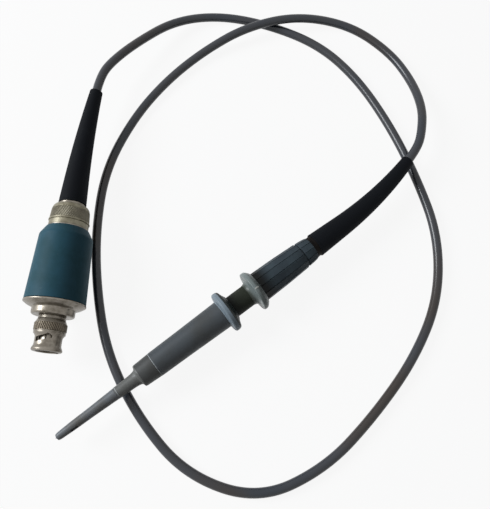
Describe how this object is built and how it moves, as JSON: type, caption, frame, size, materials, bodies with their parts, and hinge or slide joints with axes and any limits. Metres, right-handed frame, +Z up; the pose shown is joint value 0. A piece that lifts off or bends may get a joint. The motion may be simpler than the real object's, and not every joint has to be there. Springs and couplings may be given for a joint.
{
  "type": "oscilloscope probe",
  "caption": "Oscilloscope probe with a sprung hook-tip sleeve, a looped coaxial lead and a compensation box that ends in a bayonet plug.",
  "frame": {"origin": "on the table, under the middle of the rigid pieces (without the free lead)", "axes": "+Z up from the table; the compensation box lies along +Y, from its plug to its lead; the probe head lies 42 degrees from +X towards +Y, from its nose to its lead"},
  "size_m": [0.1918, 0.2455, 0.0278],
  "materials": {
    "nickel_plate": "bright nickel plate on turned brass",
    "aged_nickel": "worn nickel plate, knurled",
    "barrel_paint": "satin teal enamel",
    "nose_plastic": "light grey moulded plastic",
    "sleeve_plastic": "grey moulded plastic",
    "collar_plastic": "dark grey moulded plastic",
    "core_plastic": "near black moulded plastic",
    "guard_plastic": "blue-grey moulded plastic",
    "grip_plastic": "dark slate moulded plastic",
    "boot_rubber": "matte black rubber",
    "cable_jacket": "dark grey vinyl jacket",
    "cable_core": "white dielectric",
    "white_insulator": "white fluoropolymer",
    "gold_contact": "gold flash on brass",
    "spring_steel": "drawn spring steel",
    "brass_tube": "turned brass",
    "resistor_body": "lacquered resistor body",
    "gasket_rubber": "black rubber",
    "gland_plastic": "dark brown plastic"
  },
  "bodies": {
    "main": {"bnc_shell": "nickel_plate", "bnc_gasket": "gasket_rubber", "bnc_insulator": "white_insulator", "bnc_pin": "gold_contact", "bnc_wave_washer": "spring_steel", "box_base": "nickel_plate", "comp_stator": "brass_tube", "comp_dielectric": "white_insulator", "comp_resistor": "resistor_body", "box_stem": "nickel_plate", "box_ferrule": "brass_tube", "box_boot": "boot_rubber", "cable_end_box": "cable_core", "cable": "cable_jacket", "hook": "spring_steel", "hook_rod": "brass_tube", "tip_spring": "spring_steel", "retaining_ring": "spring_steel", "tip_core": "core_plastic", "contact_socket": "gold_contact", "finger_guard": "guard_plastic", "body_tube": "brass_tube", "front_insulator": "white_insulator", "contact_pin": "gold_contact", "attenuator_resistor": "resistor_body", "attenuator_capacitor": "white_insulator", "grip_body": "grip_plastic", "grip_nut": "grip_plastic", "gland_ring": "gland_plastic", "probe_ferrule": "brass_tube", "probe_boot": "boot_rubber", "cable_end_probe": "cable_core"},
    "tip_sleeve": {"nose_tip": "nose_plastic", "nose_base": "nose_plastic", "nose_collar": "collar_plastic", "tip_sleeve": "sleeve_plastic"},
    "thrust_washer": {"bnc_thrust_washer": "spring_steel"},
    "coupling_nut": {"bnc_nut": "nickel_plate"},
    "barrel": {"box_barrel": "barrel_paint", "comp_rotor": "brass_tube"},
    "lock_washer": {"lock_washer": "nickel_plate"},
    "lock_nut": {"lock_nut": "aged_nickel"}
  },
  "joints": [
    {"name": "sleeve_slide", "type": "slide", "parent": "main", "child": "tip_sleeve", "axis": [0.7431, 0.6691, 0], "range_m": [0, 0.009], "stiffness_N_per_m": 250, "springref_m": -0.006, "deforming": ["tip_spring"]},
    {"name": "nut_float", "type": "slide", "parent": "main", "child": "thrust_washer", "axis": [0, -1, 0], "range_m": [0, 0.0008], "stiffness_N_per_m": 5000, "springref_m": -0.0001, "deforming": ["bnc_wave_washer"]},
    {"name": "nut_turn", "type": "hinge", "parent": "thrust_washer", "child": "coupling_nut", "pos_m": [-0.0739, -0.04037, 0.0139], "axis": [0, 1, 0], "continuous": true},
    {"name": "barrel_turn", "type": "hinge", "parent": "main", "child": "barrel", "pos_m": [-0.0739, -0.00937, 0.0139], "axis": [0, 1, 0], "range_deg": [-150, 150]},
    {"name": "lock_slide", "type": "slide", "parent": "main", "child": "lock_washer", "axis": [0, 1, 0], "range_m": [0, 0.0012]},
    {"name": "lock_turn", "type": "hinge", "parent": "lock_washer", "child": "lock_nut", "pos_m": [-0.0739, 0.01613, 0.0139], "axis": [0, 1, 0], "range_deg": [0, 480]}
  ],
  "couplings": [
    {"joint": "lock_slide", "follows": "lock_turn", "m_per_rad": 0.00012732}
  ]
}
